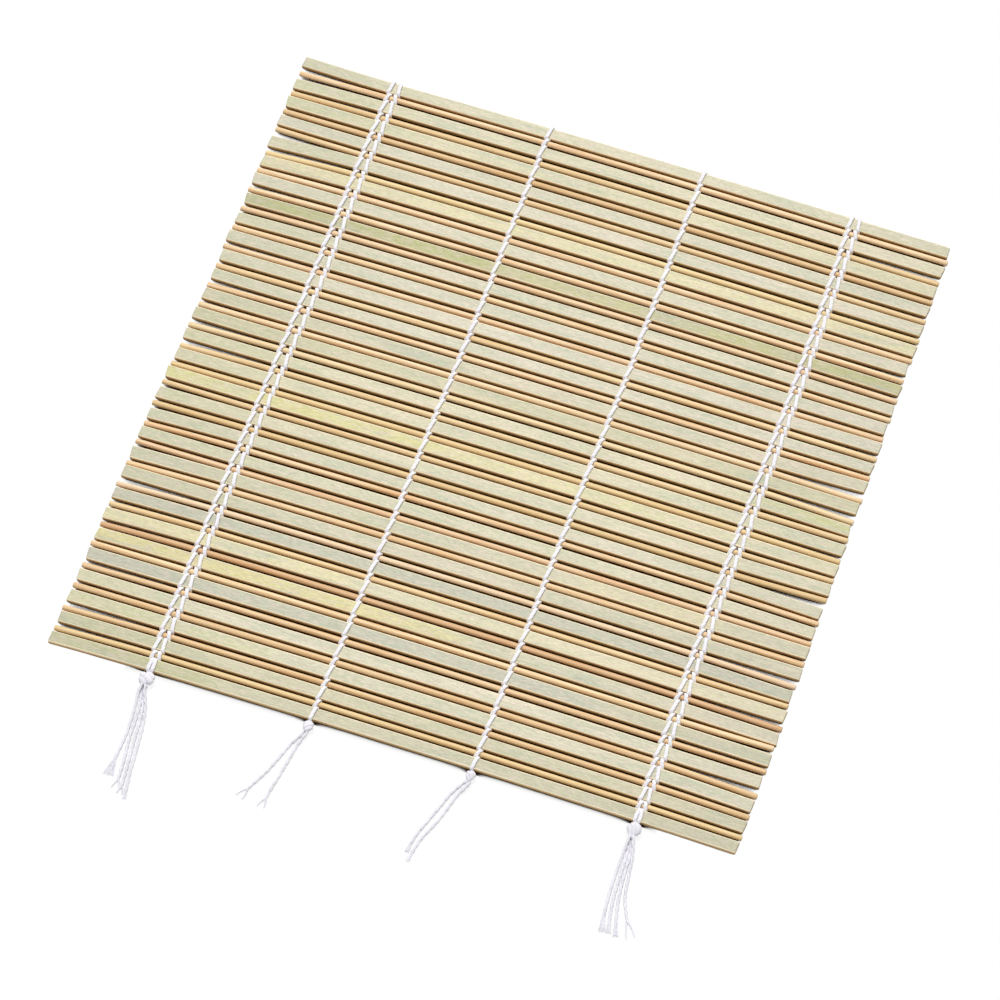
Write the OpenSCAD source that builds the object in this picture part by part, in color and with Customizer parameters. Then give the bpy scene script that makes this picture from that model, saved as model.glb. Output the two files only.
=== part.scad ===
// Sushi rolling mat: flat bamboo slats and round bamboo sticks side by side, twined together by
// six folded cotton strings that are knotted into four tassels at the near edge.
// X runs along the bamboo, Y across the mat from the tassel edge to the far edge, Z up.
// The mat lies flat with its skin side up on z = 0, and every length is in millimetres.

/* [Mat] */
// Number of flat slats; there is one round stick fewer
slat_count = 30; // [6:1:50]
// Width of the mat along the bamboo, over the most uneven ends
mat_w = 240; // [200:5:320]
// How far a piece may sit to one side of its neighbours
end_wander = 0.6; // [0:0.1:1.5]
// Gap between two neighbouring pieces of bamboo, filled by one squeezed string
gap = 1.05; // [0.9:0.05:1.5]

/* [Slats] */
// Width of a flat slat
slat_w = 4; // [3:0.1:8]
// Thickness of a flat slat
slat_t = 2.1; // [1.6:0.1:3]
// Radius along the two long edges of the skin side
slat_edge_r = 0.45; // [0.2:0.05:0.7]
// Chamfer on the four corners of a slat, seen from above
slat_corner = 0.5; // [0.2:0.1:1]

/* [Sticks] */
// Diameter of a round stick
stick_d = 2.1; // [1.6:0.1:3]
// Chamfer round the ends of a stick
stick_chamfer = 0.25; // [0.1:0.05:0.5]

/* [Strings] */
// Distance of each double line of twining from the ends of the bamboo
double_inset = 34.7; // [20:0.1:45]
// Distance of each single line of twining from the ends of the bamboo
single_inset = 91.5; // [60:0.5:95]
// Distance between the two lines of a double line, centre to centre
line_pitch = 2.72; // [2.7:0.02:4]
// Width of one stitch
stitch_w = 1.3; // [0.8:0.05:1.3]
// Thickness of a stitch over the skin side and through a gap
stitch_t = 0.7; // [0.4:0.05:0.75]
// Thickness of a stitch under the mat, where it is pressed flat
under_t = 0.45; // [0.3:0.05:0.8]
// Clearance between string and bamboo, and between the two strands of a line
string_clear = 0.03; // [0.02:0.01:0.06]

/* [Knots and tassels] */
// Width of the knot that ties the four strands of a double line
big_knot_w = 5.6; // [5:0.1:8]
// Length of that knot
big_knot_l = 5; // [3:0.1:8]
// Height of that knot
big_knot_h = 3.4; // [2.6:0.1:3.6]
// Width of the knot that ties the two strands of a single line
small_knot_w = 4; // [3:0.1:6]
// Length of that knot
small_knot_l = 4; // [2.5:0.1:6]
// Height of that knot
small_knot_h = 2.8; // [2.2:0.1:3.4]
// Diameter of a loose strand
strand_d = 1.1; // [0.6:0.05:1.15]

/* [Hidden] */
function two_digits(k) = k < 10 ? str("0", k) : str(k);
function slat_name(k) = str("slat_", two_digits(k));
function stick_name(k) = str("stick_", two_digits(k));
stick_count = slat_count - 1;

// Sides of round bamboo and of a strand
round_sides = 48;
strand_sides = 8;
// Rings along a knot, sides round it, and how far its ends are cut inside a full egg shape
knot_rings = 8;
knot_sides = 20;
knot_cut = 0.8;

// Heights above the ground: bamboo on its flat stitches, then the stitches over it
bamboo_z = under_t + string_clear;
mid_z = bamboo_z + max(slat_t, stick_d) / 2;
over_z = bamboo_z + max(slat_t, stick_d) + string_clear;
top_z = over_z + stitch_t;

// Places across the mat: piece 1 is the slat at the tassel edge, and even pieces are sticks
piece_count = slat_count + stick_count;
pitch = slat_w + stick_d + 2 * gap;
mat_l = slat_count * slat_w + stick_count * stick_d + (piece_count - 1) * gap;
function slat_y(k) = (k - 1) * pitch;
function stick_y(k) = (k - 1) * pitch + slat_w + gap;
// Middle of the gap behind piece i, where the mat folds; 0 and piece_count are outside the mat
edge_y = string_clear + stitch_t / 2;
function fold_y(i) =
    i == 0 ? -edge_y :
    i == piece_count ? mat_l + edge_y :
    i % 2 == 1 ? slat_y((i + 1) / 2) + slat_w + gap / 2 : slat_y(i / 2 + 1) - gap / 2;

// Uneven ends: each piece is shifted along X by the golden angle's sine, centred as a whole
golden_angle = 137.5;
wander = [for (i = [1:piece_count]) end_wander * sin(golden_angle * i)];
wander_mid = (max(wander) + min(wander)) / 2;
piece_len = mat_w - (max(wander) - min(wander));
function piece_x(i) = wander[i - 1] - wander_mid - piece_len / 2;

// Lines of twining, seen from the tassel edge: centre, side on which slats are crossed over
double_x = mat_w / 2 - double_inset;
single_x = mat_w / 2 - single_inset;
lines = [
    [-double_x - line_pitch / 2, -1],
    [-double_x + line_pitch / 2, 1],
    [-single_x, -1],
    [single_x, 1],
    [double_x - line_pitch / 2, -1],
    [double_x + line_pitch / 2, 1]
];

// Routes of the loose strands: X from the middle of their knot, Y from its front and Z above
// the ground, each from just inside the knot to its cut end
left_tassel = [
    [[-0.6, 0.1, 2.2], [-0.6, -1.5, 2.3], [0.1, -6.3, 1.5], [1.9, -12.8, 0.6], [1.3, -19.3, 0.6],
        [0.5, -26.3, 0.6], [-0.1, -33.9, 0.6]],
    [[-0.6, 0.1, 1.0], [-0.5, -1.5, 1.0], [1.2, -6.3, 0.6], [3.1, -12.8, 0.6], [3.7, -19.3, 0.6],
        [4.1, -28.3, 0.6], [4.4, -37.7, 0.6]],
    [[0.6, 0.1, 1.0], [0.7, -1.5, 1.0], [2.4, -6.3, 0.6], [4.3, -12.8, 0.6], [4.9, -19.3, 0.6],
        [5.4, -28.3, 0.6], [6.6, -39.1, 0.6]],
    [[0.6, 0.1, 2.2], [0.8, -1.5, 2.3], [3.4, -6.3, 1.4], [5.6, -12.8, 0.6], [6.5, -20.3, 0.6],
        [7.6, -32.3, 0.6], [9, -40.3, 0.6]]
];
left_middle_tassel = [
    [[-0.6, 0.1, 1.4], [-0.8, -1.3, 1.3], [-2.7, -5.3, 0.6], [-5, -11.3, 0.6], [-7.2, -17.3, 0.6],
        [-10, -24.3, 0.6], [-12.6, -28.9, 0.6]],
    [[0.6, 0.1, 1.4], [0.5, -1.3, 1.3], [-1, -5.3, 0.6], [-1.8, -11.3, 0.6], [-2.6, -17.3, 0.6],
        [-3.9, -24.3, 0.6], [-5.1, -30.1, 0.6]]
];
right_middle_tassel = [
    [[-0.6, 0.1, 1.4], [-0.9, -1.3, 1.3], [-3.2, -5.3, 0.6], [-6.3, -11.3, 0.6], [-8.6, -17.3, 0.6],
        [-10.3, -23.3, 0.6], [-10.9, -29.3, 0.6]],
    [[0.6, 0.1, 1.4], [0.4, -1.3, 1.3], [-1.4, -5.3, 0.6], [-3.9, -11.3, 0.6], [-5.6, -17.3, 0.6],
        [-8, -24.3, 0.6], [-9.2, -32.1, 0.6]]
];
right_tassel = [
    [[-0.6, 0.1, 2.2], [-0.7, -1.5, 2.3], [-0.9, -6.3, 1.5], [-0.4, -12.8, 0.6], [0.1, -22.3, 0.6],
        [0.5, -28.3, 0.6], [1.4, -34.5, 0.6]],
    [[-0.6, 0.1, 1.0], [-0.5, -1.5, 1.0], [0.2, -6.3, 0.6], [0.9, -12.8, 0.6], [1.7, -22.3, 0.6],
        [2.6, -28.3, 0.6], [3.7, -34.3, 0.6]],
    [[0.6, 0.1, 1.0], [0.7, -1.5, 1.0], [1.4, -6.3, 0.6], [2.1, -12.8, 0.6], [3.1, -22.3, 0.6],
        [4.4, -28.3, 0.6], [6.2, -34.7, 0.6]],
    [[0.6, 0.1, 2.2], [0.8, -1.5, 2.3], [2.4, -6.3, 1.4], [3.5, -12.8, 0.6], [5.2, -21.3, 0.6],
        [7.6, -26.7, 0.6], [11, -33.7, 0.6]]
];

// The knots lie just off the strings' ends, and the longest strand reaches furthest from the mat
knot_y = -2 * edge_y;
tassel_reach = big_knot_l - knot_y + max([for (s = left_tassel) -s[len(s) - 1][1]]);

// The origin is under the middle of the whole, tassels included
far_y = mat_l + edge_y + stitch_t / 2;
origin_y = (far_y - tassel_reach) / 2;

module seat() {
    translate([0, -origin_y, 0]) children();
}

// Turns a drawing in the YZ plane into a bar along X, from x = 0
module along_x(length) {
    rotate([90, 0, 90]) linear_extrude(length) children();
}

// A slat's section: square on the pith side, its two skin edges rounded
module slat_section() {
    square([slat_w, slat_t - slat_edge_r]);
    translate([slat_edge_r, 0]) square([slat_w - 2 * slat_edge_r, slat_t]);
    for (y = [slat_edge_r, slat_w - slat_edge_r])
        translate([y, slat_t - slat_edge_r]) circle(slat_edge_r, $fn = round_sides);
}

// A slat seen from above, with its corners cut
module slat_outline() {
    c = slat_corner;
    polygon([
        [c, 0], [piece_len - c, 0], [piece_len, c], [piece_len, slat_w - c],
        [piece_len - c, slat_w], [c, slat_w], [0, slat_w - c], [0, c]
    ]);
}

module slat(k) {
    color("#cdd0ae")
        seat()
            translate([piece_x(2 * k - 1), slat_y(k), mid_z - slat_t / 2])
                intersection() {
                    along_x(piece_len) slat_section();
                    translate([0, 0, -slat_t]) linear_extrude(3 * slat_t) slat_outline();
                }
}

module stick(k) {
    r = stick_d / 2;
    c = stick_chamfer;
    color("#e6b277")
        seat()
            translate([piece_x(2 * k), stick_y(k) + r, mid_z])
                rotate([0, 90, 0])
                    rotate_extrude($fn = round_sides)
                        polygon([
                            [0, 0], [r - c, 0], [r, c], [r, piece_len - c], [r - c, piece_len],
                            [0, piece_len]
                        ]);
}

// One strand's wave across the mat: over the pieces of one parity and under the others
function crosses_over(i, parity) = i % 2 == parity;
function wave_top(parity) = [
    for (i = [1:piece_count])
        let (over = crosses_over(i, parity), half = over ? stitch_t / 2 : -stitch_t / 2)
            each [
                [fold_y(i - 1) - half, over ? top_z : under_t],
                [fold_y(i) + half, over ? top_z : under_t]
            ]
];
function wave_bottom(parity) = [
    for (i = [piece_count:-1:1])
        let (over = crosses_over(i, parity), half = over ? -stitch_t / 2 : stitch_t / 2)
            each [
                [fold_y(i) + half, over ? over_z : 0],
                [fold_y(i - 1) - half, over ? over_z : 0]
            ]
];

// A string folded in half: its strands run side by side and meet again beyond both edges
module string_line(x, side) {
    half_gap = string_clear / 2;
    line_w = 2 * stitch_w + string_clear;
    for (s = [-1, 1])
        translate([x + (s < 0 ? -half_gap - stitch_w : half_gap), 0, 0])
            along_x(stitch_w)
                polygon(concat(
                    wave_top(s == side ? 1 : 0),
                    wave_bottom(s == side ? 1 : 0)
                ));
    for (y = [fold_y(0), fold_y(piece_count)])
        translate([x - line_w / 2, y - stitch_t / 2, 0]) cube([line_w, stitch_t, top_z]);
}

// Faces of a stack of rings with the same number of points, closed at both ends
function ring_faces(rings, sides) = concat(
    [[for (j = [sides - 1:-1:0]) j]],
    [for (i = [0:rings - 2], j = [0:sides - 1]) let (n = (j + 1) % sides)
        each [
            [i * sides + j, i * sides + n, (i + 1) * sides + j],
            [i * sides + n, (i + 1) * sides + n, (i + 1) * sides + j]
        ]],
    [[for (j = [0:sides - 1]) (rings - 1) * sides + j]]
);

// An egg-shaped knot on the ground, cut flat where the strands enter and leave it
module knot(x, w, l, h) {
    points = [
        for (i = [0:knot_rings], j = [0:knot_sides - 1])
            let (
                along = knot_cut * (2 * i / knot_rings - 1),
                swell = sqrt(1 - along * along),
                a = -360 * j / knot_sides
            )
                [
                    x + w / 2 * swell * cos(a),
                    knot_y - l * i / knot_rings,
                    h / 2 + h / 2 * swell * sin(a)
                ]
    ];
    polyhedron(points, ring_faces(knot_rings + 1, knot_sides));
}

// Direction of a route at its point i, and a ring of points square to it
function unit(v) = v / norm(v);
function route_dir(route, i) =
    unit(route[min(i + 1, len(route) - 1)] - route[max(i - 1, 0)]);
function strand_ring(p, dir) =
    let (across = unit(cross(dir, [0, 0, 1])), up = cross(across, dir))
        [for (j = [0:strand_sides - 1]) let (a = 360 * j / strand_sides)
            p + strand_d / 2 * (cos(a) * across + sin(a) * up)];

// One loose strand: a tube along its route from the knot's front, its two ends square to Y
module strand(x, front_y, route) {
    last = len(route) - 1;
    points = [
        for (i = [0:last])
            each strand_ring(
                route[i] + [x, front_y, 0],
                i == 0 || i == last ? [0, -1, 0] : route_dir(route, i)
            )
    ];
    polyhedron(points, ring_faces(len(route), strand_sides));
}

module tassel(x, knot_size, routes) {
    knot(x, knot_size[0], knot_size[1], knot_size[2]);
    for (route = routes) strand(x, knot_y - knot_size[1], route);
}

module binding_strings() {
    big_knot = [big_knot_w, big_knot_l, big_knot_h];
    small_knot = [small_knot_w, small_knot_l, small_knot_h];
    color("#f4f3ef")
        seat() {
            for (line = lines) string_line(line[0], line[1]);
            tassel(-double_x, big_knot, left_tassel);
            tassel(-single_x, small_knot, left_middle_tassel);
            tassel(single_x, small_knot, right_middle_tassel);
            tassel(double_x, big_knot, right_tassel);
        }
}

for (k = [1:slat_count])
    slat(k);
for (k = [1:stick_count])
    stick(k);
binding_strings();
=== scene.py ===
import math
from functools import partial
from types import SimpleNamespace

import bpy
import numpy as np
from mathutils import Matrix, Vector


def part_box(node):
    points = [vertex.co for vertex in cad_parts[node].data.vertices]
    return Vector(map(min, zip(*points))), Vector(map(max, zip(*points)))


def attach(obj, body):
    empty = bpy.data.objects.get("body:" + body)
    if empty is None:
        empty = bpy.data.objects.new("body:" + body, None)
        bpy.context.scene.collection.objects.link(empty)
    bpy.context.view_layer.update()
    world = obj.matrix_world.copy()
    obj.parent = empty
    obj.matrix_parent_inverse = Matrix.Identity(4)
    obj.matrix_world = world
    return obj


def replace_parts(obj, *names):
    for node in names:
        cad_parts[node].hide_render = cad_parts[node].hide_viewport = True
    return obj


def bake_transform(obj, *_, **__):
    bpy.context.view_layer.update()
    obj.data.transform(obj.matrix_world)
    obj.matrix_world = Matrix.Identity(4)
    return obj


bl_info = {
    "name": "Sushi rolling mat",
    "version": (1, 0, 0),
    "blender": (4, 5, 0),
    "location": "3D View > Sidebar > Rolling mat",
    "description": "Dresses the rolling mat in bamboo and plied cotton string",
    "category": "Object",
}

# Sizes of the mat are millimetres here, as in the part's source, and become metres in
# new_piece. Those in materials, of the floor and of the camera's place are metres.
MM = 0.001
# Settings that many shader nodes share
COLOURS = {"data_type": "RGBA"}
EASED = {"interpolation_type": "SMOOTHSTEP"}
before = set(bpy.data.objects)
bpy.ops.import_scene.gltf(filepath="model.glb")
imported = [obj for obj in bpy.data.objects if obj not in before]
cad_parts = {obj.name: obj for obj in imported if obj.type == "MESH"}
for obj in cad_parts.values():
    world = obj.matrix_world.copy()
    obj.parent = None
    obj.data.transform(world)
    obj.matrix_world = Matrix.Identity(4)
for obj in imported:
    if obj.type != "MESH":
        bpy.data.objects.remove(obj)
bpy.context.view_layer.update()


def node_box(name):
    """Lowest and highest corner of a CAD node at rest, in millimetres."""
    low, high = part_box(name)
    return np.array(low) / MM, np.array(high) / MM


SLATS = sorted(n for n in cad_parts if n.startswith("slat_"))
STICKS = sorted(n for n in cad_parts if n.startswith("stick_"))
# The bamboo in its order across the mat: slats at even places of this list, sticks between them
PIECES = [n for pair in zip(SLATS, STICKS) for n in pair] + SLATS[-1:]
LOW, HIGH = (np.array(side) for side in zip(*(node_box(n) for n in PIECES)))
MIDDLE = (LOW + HIGH) / 2
GAP = LOW[1, 1] - HIGH[0, 1]
MID_Z = MIDDLE[0, 2]

# Lines of twining: X, the way their stitches lean, and the knot that they end in
LINES = [(-86.96, 1, 0), (-83.64, -1, 0), (-28.5, 1, 1), (28.5, 1, 2), (83.92, 1, 3),
         (86.68, -1, 3)]
# How far each lies off to the right in the photo, at seven places from near slat to far slat
WANDER = [(2.1, 1.5, 1.2, 1.35, 1.4, 0.9, 0.9), (1.3, 1.25, 0.9, 1.5, 1.9, 0.7, 0.6),
          (1.2, 1.3, 1.6, 1.75, 2.1, 1.5, 1.35), (0.45, 0.6, 0.55, 0.8, 1.3, 0.85, 0.8),
          (0.6, 0.5, 0.1, 0.4, 0.7, 0.5, -0.5), (0.25, 0.45, 0.15, 0.5, 0.6, 0.25, -0.3)]
KNOTS = [  # X, width, length, height, reach over the strands, taper, tilt of its turns
    ("left_knot", -83.8, 6.0, 5.0, 3.0, 0.4, 0.15, 28),
    ("left_middle_knot", -27.3, 4.0, 4.0, 2.5, 0.3, 0.2, -35),
    ("right_middle_knot", 29.1, 4.0, 4.0, 2.5, 0.1, 0.45, 40),
    ("right_knot", 85.8, 5.8, 5.0, 3.0, 1.3, 0.5, 68),
]
KNOT_BACK = LOW[0, 1] - 0.4
KNOT_LIFT = 0.45  # between the ground and a knot
LYING = 0.6  # from the ground to the middle of a strand that lies on it

# Loose strands: X from the middle of their knot and Y from its front at seven points, Z above
# ground at the first three (beyond them they lie on it), and how they end: the length that
# comes apart, how far it spreads and how many yarns it shows
TASSELS = {
    "left": [
        ((-0.6, -0.8, -0.3, 0.4, 0.7, 0.5, 0.3), (0.1, -1.5, -6.3, -12.8, -19.3, -26.3, -33.9),
         (2.2, 2.3, 1.5), (6.5, 2.1, 14)),
        ((-0.6, -0.4, 0.9, 1.8, 2.3, 3.6, 4.4), (0.1, -1.5, -6.3, -12.8, -19.3, -28.3, -37.7),
         (1, 1, 0.6), (4.5, 1.1, 2)),
        ((0.6, 0.7, 2, 3.3, 4, 5.2, 6.5), (0.1, -1.5, -6.3, -12.8, -19.3, -28.3, -39.1),
         (1, 1, 0.6), (3.5, 0.8, 2)),
        ((0.6, 0.9, 2.9, 4.6, 5.7, 7.2, 8.6), (0.1, -1.5, -6.3, -12.8, -20.3, -32.3, -40.3),
         (2.2, 2.3, 1.4), (2.5, 0.6, 5)),
    ],
    "left_middle": [
        ((-0.6, -1, -3.2, -5.2, -7.3, -10.6, -12.8), (0.1, -1.3, -5.3, -11.3, -17.3, -24.3, -28.9),
         (1.4, 1.3, 0.6), (6, 1.1, 2)),
        ((0.5, 0.1, -1.2, -2, -2.9, -4, -4.8), (0.1, -1.3, -5.3, -11.3, -17.3, -24.3, -30.1),
         (1.4, 1.3, 0.6), (5, 1, 2)),
    ],
    "right_middle": [
        ((-0.6, -1.5, -3.9, -5.9, -7.9, -9.8, -10.8),
         (0.1, -1.3, -5.3, -11.3, -17.3, -23.3, -29.8), (1.4, 1.3, 0.6), (4, 0.7, 5)),
        ((0.6, 0.2, -1.8, -3.4, -5.2, -7.9, -9.5), (0.1, -1.3, -5.3, -11.3, -17.3, -24.3, -32.8),
         (1.4, 1.3, 0.6), (3, 0.6, 5)),
    ],
    "right": [
        ((-0.6, -0.6, -0.7, -0.8, -0.4, 0.2, 1.3), (0.1, -1.5, -6.3, -12.8, -22.3, -28.3, -34.5),
         (2.2, 2.3, 1.5), (7, 1.1, 8)),
        ((-0.6, -0.3, 0.4, 0.7, 1.3, 2.2, 3.5), (0.1, -1.5, -6.3, -12.8, -22.3, -28.3, -34.3),
         (1, 1, 0.6), (5, 0.9, 6)),
        ((0.6, 0.9, 1.5, 1.9, 3, 4.3, 6.1), (0.1, -1.5, -6.3, -12.8, -22.3, -28.3, -34.7),
         (1, 1, 0.6), (4, 1, 6)),
        ((0.6, 1.1, 2.4, 3.4, 4.9, 7.2, 11), (0.1, -1.5, -6.3, -12.8, -21.3, -26.7, -33.7),
         (2.2, 2.3, 1.4), (9, 1.3, 2)),
    ],
}

# Extra width of a gap at the very ends of the bamboo, which is held only where it is twined.
# Gap i lies behind place i of the mat, counted from the tassel edge.
OPEN_LEFT = {58: 1.3, 57: 0.8, 54: 0.5, 51: 1.9, 50: 0.4, 38: 0.3, 36: 0.5, 34: 0.5, 32: 0.6,
             30: 0.6, 27: 0.3, 25: 0.9, 23: 0.9, 19: 0.9, 16: 0.8, 13: 0.5, 5: 0.3, 4: 0.5,
             2: 0.3}
OPEN_RIGHT = {56: 0.4, 52: 0.3, 49: 0.4, 46: 0.6, 44: 0.4, 34: 1.9, 32: 1.1, 23: 1.6, 18: 0.4,
              16: 0.9, 12: 0.7, 9: 0.6, 7: 0.3, 6: 0.8}
# Pieces whose end lies off by itself, in mm towards the far side
ASIDE_LEFT = {10: 0.4, 20: 0.3, 26: 0.3, 34: 0.4, 39: -0.4, 43: -0.5, 47: 0.4, 48: 0.4, 52: 0.4,
              54: 0.4, 56: 0.2, 59: 0.4}
ASIDE_RIGHT = {7: 0.3, 8: 0.3, 9: 0.4, 10: 0.6, 14: 0.4, 29: 0.4, 30: 0.6, 31: 0.4, 36: -0.7,
               37: -0.6, 38: -0.5}
# Where the ends lie: the middle of their spread on the left and on the right, near and far
LEFT_X, RIGHT_X = (-119.6, -118.7), (119.7, 119.4)
# The rows lie a little unevenly: Y, and how far the bamboo there lies towards the far side
ROWS = [(-96, 0), (-88, -0.4), (-76, -0.35), (-60, 0.15), (-10, 0.15), (14, -0.2), (43, 0.1),
        (76, -0.15), (100, 0), (127, 0), (137, 0.5), (142, 0.5)]

# Slats that differ from the rest: from X, to X, how yellow, how olive, how grey
TINTED = {
    23: [(-130, -25, 0.35, 1, 0), (-25, 50, 0.5, 0.6, 0), (50, 130, 0.7, 0.9, 0)],
    25: [(-130, 130, 0.5, 0, 0)], 14: [(-130, -20, 0.9, 0.5, 0), (-20, 60, 0.5, 0.2, 0)],
    6: [(-130, 10, 0.9, 0.1, 0)], 7: [(-130, -30, 0.6, 0, 0), (-30, 130, 0.3, 0, 0)],
    8: [(-130, 130, 0.1, 0, 1)], 5: [(-130, 60, 0, 0.1, 1)],
    1: [(-130, -60, 0.3, 0.8, 0.3), (-60, 130, 0.1, 0.3, 0.3)], 3: [(-130, -50, 0.2, 0.6, 0.2)],
    24: [(-130, 130, 0.2, 0, 0.5)], 27: [(-130, 130, 0.1, 0, 0.5)],
    16: [(85, 130, 0.1, 0.8, 0)], 10: [(40, 90, 0.45, 0, 0)],
}
# Slats that are darker than the rest, and by what share
DARKER = {1: 0.13, 2: 0.1, 5: 0.1, 6: 0.08, 8: 0.1, 9: 0.08, 10: 0.07, 17: 0.08, 18: 0.07, 23: 0.17}
# Sticks that differ from the rest: how brown, how pale
TINTED_STICKS = {2: (0.4, 0), 3: (0.45, 0), 4: (0.4, 0), 6: (0.8, 0), 8: (0, 0.7),
                 10: (0.35, 0.2), 12: (0.45, 0), 14: (0.3, 0), 16: (0, 0.4), 17: (0, 0.3),
                 22: (0.2, 0.3), 27: (0.5, 0), 29: (0, 0.1)}


# Settings that a user would change
def colour(name, about, value):
    """One colour setting, given as an sRGB hex value and kept linear."""
    return bpy.props.FloatVectorProperty(
        name=name, description=about, subtype="COLOR", size=3, min=0, max=1,
        default=linear(value)[:3])


def length(name, about, value, low, high):
    """One length setting, given in millimetres and kept in metres."""
    return bpy.props.FloatProperty(
        name=name, description=about, default=value * MM, min=low * MM, max=high * MM,
        precision=5, subtype="DISTANCE")


def strength(name, about, value, high):
    """One setting for how strong a light is."""
    return bpy.props.FloatProperty(name=name, description=about, default=value, min=0, max=high)


def values_of(group):
    """A group's settings by name: lengths in millimetres, colours with a fourth number of 1."""
    found = {}
    for setting in group.bl_rna.properties:
        if setting.type == "FLOAT":
            value = getattr(group, setting.identifier)
            if setting.is_array:
                value = tuple(value) + (1.0,)
            elif setting.unit == "LENGTH":
                value /= MM
            found[setting.identifier] = value
    return SimpleNamespace(**found)


def linear(value):
    """An sRGB hex value such as #DAD8C2 as linear red, green, blue and 1."""
    parts = [int(value[i:i + 2], 16) / 255 for i in (1, 3, 5)]
    return tuple(c / 12.92 if c <= 0.04045 else ((c + 0.055) / 1.055) ** 2.4
                 for c in parts) + (1.0,)


class BambooSettings(bpy.types.PropertyGroup):
    """Shape and colours of the bamboo"""

    crown: length("Crown", "Rise of the skin's middle over a slat's edges", 0.06, 0, 0.3)
    edge: length("Edge", "Width of the shaved bevel along a slat's skin side", 0.4, 0.1, 0.6)
    thinning: length("Thinning", "How much thinner a piece gets in places", 0.09, 0, 0.2)
    lift: length("Lift", "How far the free ends of a slat lift", 0.22, 0, 0.5)
    skin: colour("Skin", "Sage of the slats' skin side", "#BCBFA3")
    pale: colour("Pale skin", "Cream streaks of the skin", "#DDD2BC")
    rose: colour("Rubbed skin", "Faint rose where the bloom has rubbed off", "#DECAB8")
    yellow: colour("Yellow", "Skin that has aged yellow", "#E2D68E")
    olive: colour("Olive", "Skin that has stayed green", "#BFC07E")
    grey: colour("Grey green", "Skin with its waxy bloom", "#BFC0A8")
    flesh: colour("Flesh", "Sawn sides of a slat", "#E2BB82")
    fibre: colour("Fibre", "Darker fibres in the flesh", "#A87844")
    # Partly painted shade: the sides of a slat darken to this brown with depth, as the slots
    # between the pieces are in shade
    pith_and_shade: colour("Pith", "Sides towards the pith, and the underside", "#A6834A")
    bevel: colour("Bevel", "Shaved edges of a slat", "#FBEBC8")
    stick: colour("Stick", "Peeled round sticks", "#FDE2B8")
    stick_dark: colour("Stick grain", "Darker grain of the sticks", "#E8B47E")


class StringSettings(bpy.types.PropertyGroup):
    """Shape and colours of the string"""

    lean: length("Lean", "How far a stitch leans to each side", 0.38, 0, 0.8)
    pass_by: length("Pass", "How far two strands step aside where they cross", 0.2, 0, 0.6)
    crown_half: length("Half width", "Half the width of a stitch at its middle", 0.7, 0.4, 0.8)
    pinch_half: length("Pinched half width", "Half its width between two pieces", 0.66, 0.3, 0.8)
    ply: length("Ply radius", "Radius of one of the two yarns of a loose strand", 0.4, 0.2, 0.5)
    twist: length("Twist", "Length of one full turn of a strand", 5.4, 1.5, 8)
    cotton: colour("Cotton", "Bleached cotton", "#FBFAFA")
    lilac: colour("Lilac", "Patches of optical white", "#F3F0F8")
    shade: colour("Shade", "Cotton between the yarns", "#C9C6D2")
    loose: colour("Loose cotton", "Cotton of the tassels, a little greyer", "#E4E3E9")


class StageSettings(bpy.types.PropertyGroup):
    """Light and floor"""

    sun: strength("Key light", "Strength of the soft key light", 2.42, 10)
    fill: strength("Fill light", "Strength of the light all round", 0.4, 2)
    floor: colour("Floor", "Plain pale floor", "#FFFFFF")


# Meshes
def signed_volume(points, faces):
    """Sum over the fan triangles of each face of the volume they span with the origin."""
    total = 0.0
    for size in {len(f) for f in faces}:
        group = points[np.array([f for f in faces if len(f) == size])]
        a = group[:, 0][:, None]
        total += np.einsum("fij,fij->", np.broadcast_to(a, group[:, 1:-1].shape),
                           np.cross(group[:, 1:-1], group[:, 2:])) / 6
    return total


def tube(rings, along, closed=False):
    """Points, faces and corner UVs of a surface through R rings of C points each: quads join
    each ring to the next, wrapped round, and one face closes each end unless the rings close
    on themselves. U runs once round a ring and V is the length along it given for each ring."""
    r, c = rings.shape[:2]
    i, j = (a.ravel() for a in np.meshgrid(
        np.arange(r if closed else r - 1), np.arange(c), indexing="ij"))
    k, n = (i + 1) % r, (j + 1) % c
    quads = np.stack([i * c + j, i * c + n, k * c + n, k * c + j], -1)
    v_next = np.append(along, 2 * along[-1] - along[-2])[i + 1]
    uv = np.stack([np.stack([j, along[i] * c], -1), np.stack([j + 1, along[i] * c], -1),
                   np.stack([j + 1, v_next * c], -1), np.stack([j, v_next * c], -1)], 1) / c
    points, faces, uv = rings.reshape(-1, 3), quads.tolist(), uv.reshape(-1, 2)
    if not closed:
        faces += [list(range(c - 1, -1, -1)), list(range((r - 1) * c, r * c))]
        uv = np.concatenate([uv, np.full((2 * c, 2), 0.25)])
    if signed_volume(points, faces) < 0:
        sizes = np.array([len(f) for f in faces])
        starts = np.concatenate([[0], np.cumsum(sizes)[:-1]])
        uv = np.concatenate([uv[s:s + m][::-1] for s, m in zip(starts, sizes)])
        faces = [f[::-1] for f in faces]
    return points, faces, uv


def gather(parts):
    """Several surfaces as one: their points, faces and UVs one after another."""
    points, faces, uvs, count = [], [], [], 0
    for p, f, uv in parts:
        points.append(p)
        faces += [[v + count for v in face] for face in f]
        uvs.append(uv)
        count += len(p)
    return np.concatenate(points), faces, np.concatenate(uvs)


def new_piece(name, surface, material, sharp, attributes=()):
    """Makes one object at the origin from points in millimetres, smooth but for edges sharper
    than the given angle in degrees, with its UV map and attributes of three numbers a point."""
    points, faces, uv = surface
    mesh = bpy.data.meshes.new(name)
    mesh.from_pydata((laid(points) * MM).tolist(), [], faces)
    mesh.uv_layers.new(name="UVMap").data.foreach_set("uv", uv.astype(np.float32).ravel())
    for key, values in attributes:
        mesh.attributes.new(key, "FLOAT_VECTOR", "POINT").data.foreach_set(
            "vector", values.astype(np.float32).ravel())
    mesh.shade_smooth()
    mesh.set_sharp_from_angle(angle=math.radians(sharp))
    mesh.materials.append(material)
    return placed(name, mesh)


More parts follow.
